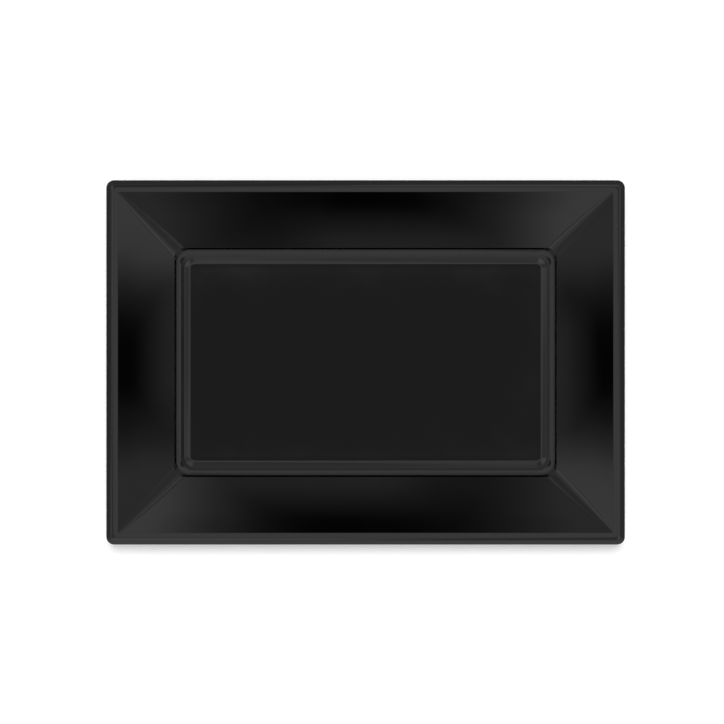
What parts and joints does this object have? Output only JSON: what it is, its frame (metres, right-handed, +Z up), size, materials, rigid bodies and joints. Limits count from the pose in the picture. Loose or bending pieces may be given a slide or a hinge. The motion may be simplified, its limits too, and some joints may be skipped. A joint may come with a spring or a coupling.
{
  "type": "serving tray",
  "caption": "Shallow rectangular serving tray with a flat well on a low foot, a narrow ledge round the well, wide sloping rim panels that meet in mitred corners, and a bevelled lip with a turned-down skirt.",
  "frame": {"origin": "middle of the footprint, on the table that the foot stands on", "axes": "+X along the long side, +Y along the short side, +Z up out of the well"},
  "size_m": [0.33, 0.232, 0.0175],
  "materials": {
    "black_plastic": "moulded gloss black, opaque"
  },
  "bodies": {
    "root": {"tray": "black_plastic"}
  },
  "joints": []
}
